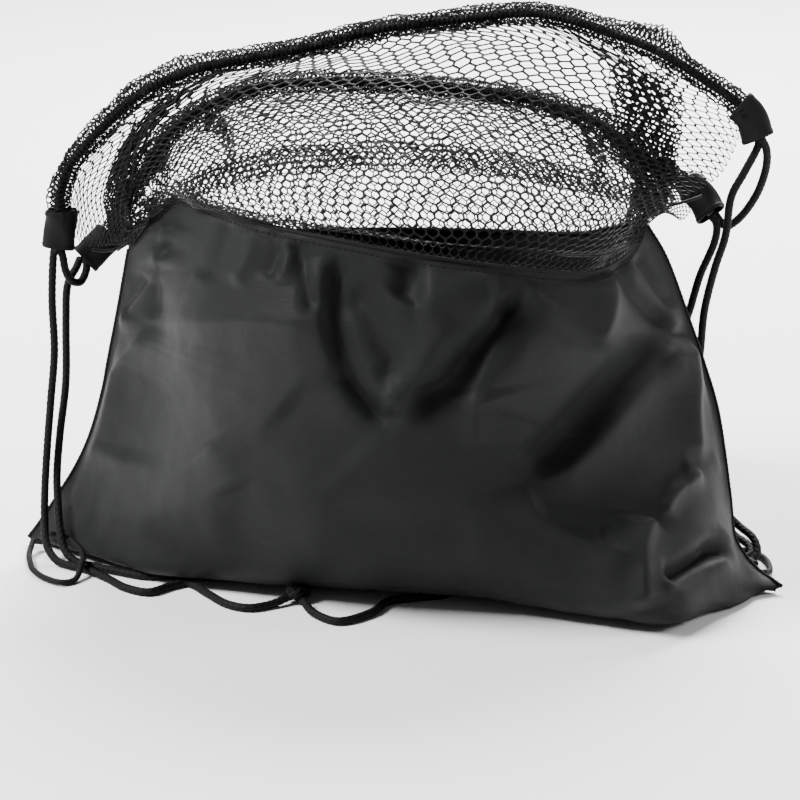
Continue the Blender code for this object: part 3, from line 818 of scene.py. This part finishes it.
def honeycomb(width, height, wrap=False):
    """Points and faces of a flat net of hexagonal cells. wrap joins its top row to its bottom one."""
    columns = int(width / CELL_PERIOD) + 2
    rows = round(height / CELL_SPACING) if wrap else int(height / CELL_SPACING) + 2
    rows += rows % 2
    row, column = np.meshgrid(np.arange(rows), np.arange(columns), indexing="ij")
    centres = np.stack([(column + 0.5 * (row % 2)) * CELL_PERIOD, row * CELL_SPACING], axis=-1)
    points = (centres[:, :, None, :] + cell_corners()).reshape(-1, 2)
    if wrap:
        points[:, 1] *= height / (rows * CELL_SPACING)

    def corner(row_shift, column_shift, number):
        at_row, at_column = row + row_shift, column + column_shift
        good = (at_column >= 0) & (at_column < columns)
        if not wrap:
            good &= (at_row >= 0) & (at_row < rows)
        index = ((at_row % rows) * columns + at_column) * 6 + number
        return np.where(good, index, -1)

    odd = row % 2
    faces = [
        (corner(0, 0, 0), corner(0, 1, 4), corner(0, 1, 3), corner(0, 0, 1)),
        (corner(0, 0, 1), corner(1, odd, 5), corner(1, odd, 4), corner(0, 0, 2)),
        (corner(0, 0, 2), corner(1, odd - 1, 0), corner(1, odd - 1, 5), corner(0, 0, 3)),
        (corner(0, 0, 2), corner(1, odd, 4), corner(1, odd - 1, 0)),
        (corner(0, 0, 5), corner(-1, odd - 1, 1), corner(-1, odd, 3)),
    ]
    kept = []
    for face in faces:
        listed = np.stack(face, axis=-1).reshape(-1, len(face))
        listed = listed[(listed >= 0).all(axis=1)]
        s, t = points[listed][..., 0], points[listed][..., 1]
        outside = (s < 0).all(axis=1) | (s > width).all(axis=1)
        if not wrap:
            outside |= (t < 0).all(axis=1) | (t > height).all(axis=1)
        kept += listed[~outside].tolist()
    points[:, 0] = np.clip(points[:, 0], 0, width)
    if not wrap:
        points[:, 1] = np.clip(points[:, 1], 0, height)
    used = np.unique(np.concatenate([np.array(face) for face in kept]))
    renumber = np.full(len(points), -1)
    renumber[used] = np.arange(len(used))
    return points[used], [[int(renumber[number]) for number in face] for face in kept]


def sample(grid, u, v):
    """Bilinear samples of a grid of points at shares u across and v up."""
    steps, columns = grid.shape[:2]
    x = np.clip(u, 0, 1) * (columns - 1)
    y = np.clip(v, 0, 1) * (steps - 1)
    left = np.minimum(x.astype(int), columns - 2)
    low = np.minimum(y.astype(int), steps - 2)
    fx, fy = (x - left), (y - low)
    if grid.ndim == 3:
        fx, fy = fx[..., None], fy[..., None]
    return ((grid[low, left] * (1 - fx) + grid[low, left + 1] * fx) * (1 - fy)
            + (grid[low + 1, left] * (1 - fx) + grid[low + 1, left + 1] * fx) * fy)


def pleat_maps(pleats):
    """Where flat cloth goes across the net, and how far layers stand apart, with S-shaped pleats.

    Each pleat is (share at the binding, share at the hem, overlap at both, first and last share up).
    """
    v = np.linspace(0, 1, PLEAT_STEPS)[:, None]
    u = np.linspace(0, 1, PLEAT_COLUMNS)[None, :]
    slope = np.ones((PLEAT_STEPS, PLEAT_COLUMNS))
    lift = np.zeros((PLEAT_STEPS, PLEAT_COLUMNS))
    for low, high, low_overlap, high_overlap, first, last in pleats:
        here = (smoothstep(first - PLEAT_ENDS, first + PLEAT_ENDS, v)
                * smoothstep(-PLEAT_ENDS - (1 - last), PLEAT_ENDS, last - v))
        middle = low + (high - low) * v
        half = np.maximum((low_overlap + (high_overlap - low_overlap) * v) / 2, 1e-4)
        away = (u - middle) / half
        slope -= 2.0 * here / (1 + np.exp(np.clip((np.abs(away) - 1) * 9, -30, 30)))
        layer = np.sin(np.clip(away / 1.6, -1, 1) * np.pi / 2) * np.exp(-((away / 4) ** 2))
        lift -= here * layer * PLEAT_LIFT
    place = np.cumsum(slope, axis=1)
    place = (place - place[:, :1]) / (place[:, -1:] - place[:, :1])
    return place, lift


def net_panel(name, rows, binding, hem, pleats, billows, outwards):
    """A net: a honeycomb laid on the surface from the binding to the hem, with pleats and slack.

    pleats run up the net, and billows run across it, where slack net hangs over itself.
    the net starts and ends to turn with its rim.
    """
    lines = [even_points(row, NET_COLUMNS) for row in (binding, *rows)]
    clear = TAB_LENGTH * CUFF_SHARE_CLEAR
    high = even_points(hem, NET_COLUMNS, clear, length_of(hem) - clear)
    lines.append(stand_off(high, lines[-1], CHANNEL_RADIUS - HEM_LAP))
    grid = lanes_through(lines, NET_COLUMNS, NET_STEPS)
    normals = facing(grid, outwards)
    flat, faces = honeycomb(NET_WIDTH, NET_HEIGHT)
    u, v = flat[:, 0] / NET_WIDTH, flat[:, 1] / NET_HEIGHT
    place, lift = pleat_maps(pleats)
    rise, sag = pleat_maps(billows)
    u_map, v_map = sample(place, u, v), sample(rise, v, u)
    away = sample(lift, u, v) - BILLOW_DEPTH * sample(sag, v, u)
    points = sample(grid, u_map, v_map)
    slack = relief(points, NET_RELIEF)
    stand = (away + slack) * fade(NET_FLAT_ENDS, v) * fade(NET_FLAT_SIDES, u)
    points = points + sample(normals, u_map, v_map) * stand[:, None]
    made = piece(name, points, faces, "net", body=None)
    thicken(made, YARN_THICKNESS)
    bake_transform(made)


# ---------------------------------------------------------------- hems, cuffs and trim

def hem_channel(name, hem, body, gather, seed, puffs):
    """The hem's tunnel: two layers of net, ruffled where they are gathered on the cords.

    Each puff is (share along, reach as a share, height in radii), where the outer net stands up.
    """
    total = length_of(hem)
    start, end = TAB_LENGTH - 2, total - TAB_LENGTH + 2
    line = even_points(hem, HEM_STEPS, start, end)
    length = end - start
    around = 2 * np.pi * CHANNEL_RADIUS
    flat, faces = honeycomb(length * gather, around, wrap=True)
    flat[:, 0] /= gather
    side, other = side_frames(line, BACKWARDS)
    share = flat[:, 0] / length
    spot = share * (HEM_STEPS - 1)
    index = np.minimum(spot.astype(int), HEM_STEPS - 2)
    part = (spot - index)[:, None]
    centre, first, second = (rows[index] * (1 - part) + rows[index + 1] * part
                             for rows in (line, side, other))
    layers = []
    for layer, (share_out, turn) in enumerate(HEM_LAYERS):
        angle = flat[:, 1] / CHANNEL_RADIUS + turn
        ring = np.stack([flat[:, 0] * 0.8, 9 * np.cos(angle), 9 * np.sin(angle)], axis=1)
        first_seed = seed + len(HEM_RUFFLES) * layer
        ruffle = relief(ring, [(*wave, first_seed + number) for number, wave in enumerate(HEM_RUFFLES)])
        for place, reach, height in puffs:
            along = np.exp(-(((share - place) / reach) ** 2))
            ruffle = ruffle + share_out * height * along * np.maximum(np.sin(angle), 0) ** 2
        radius = CHANNEL_RADIUS * (share_out + ruffle)
        layers.append(centre + first * (radius * np.cos(angle))[:, None]
                      + second * (radius * np.sin(angle))[:, None])
    faces = faces + [[number + len(flat) for number in face] for face in faces]
    thicken(piece(name, np.concatenate(layers), faces, "net", body), YARN_THICKNESS)


def cuff(name, hem, first, body):
    """A woven cuff at the end of a hem, pressed flat, with turned edges."""
    line = even_points(hem, 56, first, first + TAB_LENGTH + CUFF_OVERLAP)
    length = run_of(line)[-1]

    def outline(along, angle):
        power = CUFF_SQUARENESS
        flatness = (np.abs(np.cos(angle)) ** power + np.abs(np.sin(angle)) ** power) ** (-1 / power)
        from_ends = np.minimum(along, length - along)
        turned_edge = np.exp(-(((from_ends - CUFF_TURN) / CUFF_TURN_REACH) ** 2))
        crease = np.sin(3 * angle + along * 0.35)
        return CUFF_RADIUS * flatness * (1 + CUFF_RELIEF * (turned_edge + crease))

    made = tube(name, line, outline, "webbing", 40, body, caps=False, aspect=CUFF_ASPECT)
    thicken(made, CUFF_THICKNESS)


def stitches(name, line, outward):
    """A row of short threads along a line, each a small bar that dips at its ends."""
    along = run_of(line)
    vertices, faces = [], []
    arch = np.sin(np.linspace(0, np.pi, STITCH_RINGS))[:, None]
    thick = np.repeat(STITCH_RADIUS * (0.6 + 0.4 * arch), STITCH_SIDES, axis=1)
    for start in np.arange(STITCH_EVERY / 2, along[-1] - STITCH_LENGTH, STITCH_EVERY):
        spots = np.linspace(start, start + STITCH_LENGTH, STITCH_RINGS)
        bar = rows_at(spots, along, line)
        bar += unit(rows_at(spots, along, outward)) * (arch * 0.35 - 0.1)
        points, bar_faces = rings(bar, thick, side_frames(bar, STITCH_SIDEWAYS))
        faces += [[len(vertices) + number for number in face] for face in bar_faces]
        vertices += points.tolist()
    piece(name, vertices, faces, "webbing")


def seam_tape(name, route, radius):
    """A rolled and overlocked edge: a thin tube whose thread wraps show as a fine twist."""
    line = fine_line(route, SEAM_STEP)

    def wrapped(along, angle):
        return radius * (1 + WRAP_RELIEF * np.sin(2 * np.pi * along / WRAP_PITCH + angle))

    tube(name, line, wrapped, "webbing", 12)


def knot_piece(name, centre):
    """An overhand knot pulled tight: a trefoil of the braided cord."""
    turn = np.linspace(0, 2 * np.pi, 181)
    ring = KNOT_RING + KNOT_LOBE * np.cos(3 * turn)
    rise = KNOT_RISE * np.sin(3 * turn)
    line = np.stack([ring * np.cos(2 * turn), ring * np.sin(2 * turn), rise], axis=1)
    line = line * KNOT_SQUEEZE + np.array(centre)

    def packed(along, angle):
        return 0.98 * braid(along, angle)

    return tube(name, line, packed, "cord", 20)


def free_cord(name, route, every, **ends):
    """A braided cord along a route. The argument every is not used."""
    line = fine_line(route, CORD_STEP)
    braided(name, line)


# ---------------------------------------------------------------- camera, light and floor

def add_camera():
    data = bpy.data.cameras.new("camera")
    data.lens = CAMERA_LENS
    data.sensor_width = SENSOR_WIDTH
    camera = new_object("camera", data)
    back = Vector((0, -math.cos(CAMERA_ELEVATION), math.sin(CAMERA_ELEVATION)))
    camera.location = AIM + CAMERA_DISTANCE * back
    camera.rotation_euler = (-back).to_track_quat("-Z", "Y").to_euler()
    bpy.context.scene.camera = camera


def add_light(name, place, size, watts):
    data = bpy.data.lights.new(name, "AREA")
    data.shape = "DISK"
    data.size = size
    data.energy = watts
    light = new_object(name, data)
    light.location = place
    light.rotation_euler = (Vector((0, 0, 0.1)) - Vector(place)).to_track_quat("-Z", "Y").to_euler()


def add_floor():
    mesh = bpy.data.meshes.new("floor")
    size = 8.0
    corners = [(-size, -size, 0), (size, -size, 0), (size, size, 0), (-size, size, 0)]
    mesh.from_pydata(corners, [], [(0, 1, 2, 3)])
    floor = new_object("floor", mesh)
    made = bpy.data.materials.new("floor")
    made.use_nodes = True
    shader = made.node_tree.nodes["Principled BSDF"]
    shader.inputs["Base Color"].default_value = (0.92, 0.92, 0.92, 1)
    shader.inputs["Roughness"].default_value = 0.9
    shader.inputs["Specular IOR Level"].default_value = 0.1
    mesh.materials.append(made)


def add_world():
    world = bpy.data.worlds.new("studio")
    bpy.context.scene.world = world
    world.use_nodes = True
    background = world.node_tree.nodes["Background"]
    background.inputs["Color"].default_value = (1, 1, 1, 1)
    background.inputs["Strength"].default_value = 0.14


# ---------------------------------------------------------------- the bag

add_camera()
add_world()
add_floor()
add_light("key", (-1.8, -0.48, 1.9), 1.0, 168)
add_light("right", (1.9, -0.1, 1.0), 0.7, 24)
add_light("back", (0.3, 1.5, 1.6), 1.4, 175)

knots = {name: knot_piece(name, centre) for name, centre in KNOTS.items()}
for knot_name, strands in KNOT_STRANDS.items():
    for name in strands:
        free_cord(name, (LEAD_INS[name], *CORD_ROUTES[name]), 5,
                  far_end="knot", lay="loose", with_pieces=[knots[knot_name]])
for name, middle in BRIDGE_ROUTES.items():
    free_cord(name, (LEAD_INS[name], *middle, LEAD_OUTS[name]), 1, far_end="object", lay="hanging")
for name, route in CORNER_LOOPS.items():
    tube(name, fine_line(route, LOOP_STEP), twisted, "webbing", 24)

front_top, front_out = lower_panel("front_lower_panel", FRONT_ROWS, FRONT_BINDING, FRONT_FOLDS, -1)
back_top, back_out = lower_panel("back_lower_panel", BACK_ROWS, BACK_BINDING, BACK_FOLDS, 1)
stitches("front_binding_stitches", front_top, front_out)
stitches("back_binding_stitches", back_top, back_out)

net_panel("front_net_panel", FRONT_NET_ROWS, FRONT_BINDING, FRONT_HEM, FRONT_PLEATS, FRONT_BILLOWS,
          -1)
net_panel("back_net_panel", BACK_NET_ROWS, BACK_BINDING, BACK_HEM, BACK_PLEATS, BACK_BILLOWS,
          1)

for seam_name, route, radius in (
    ("front_net_binding", FRONT_BINDING, BINDING_RADIUS),
    ("back_net_binding", BACK_BINDING, BINDING_RADIUS),
    ("left_side_seam", LEFT_SEAM, SIDE_SEAM_RADIUS),
    ("right_side_seam", RIGHT_SEAM, SIDE_SEAM_RADIUS),
    ("left_net_seam", LEFT_NET_SEAM, NET_SEAM_RADIUS),
    ("right_net_seam", RIGHT_NET_SEAM, NET_SEAM_RADIUS),
    ("bottom_seam", BOTTOM_SEAM, BINDING_RADIUS),
):
    seam_tape(seam_name, route, radius)

# gather: how much longer a hem's cloth is than the tunnel it makes
for rim_side, hem, gather, seed, puffs in (
    ("front", FRONT_HEM, 2.3, 21, ((0.85, 0.04, 1.2), (0.24, 0.07, 0.5))),
    ("back", BACK_HEM, 2.7, 31, ((0.82, 0.05, 0.5),)),
):
    body = f"{rim_side}_rim"
    hem_channel(f"{rim_side}_hem_channel", hem, body, gather, seed, puffs)
    total = length_of(hem)
    for end, first in (("left", 0.0), ("right", total - TAB_LENGTH)):
        cuff(f"{rim_side}_hem_{end}_tab", hem, max(first - CUFF_OVERLAP, 0.0), body)
    run = even_points(hem, round(total / CORD_STEP))
    sideways = across(run, np.tile(BACKWARDS, (len(run), 1)))
    for end, shift in (("left", -CORD_SPACING / 2), ("right", CORD_SPACING / 2)):
        braided(f"{rim_side}_channel_{end}_cord", run + shift * sideways, body)
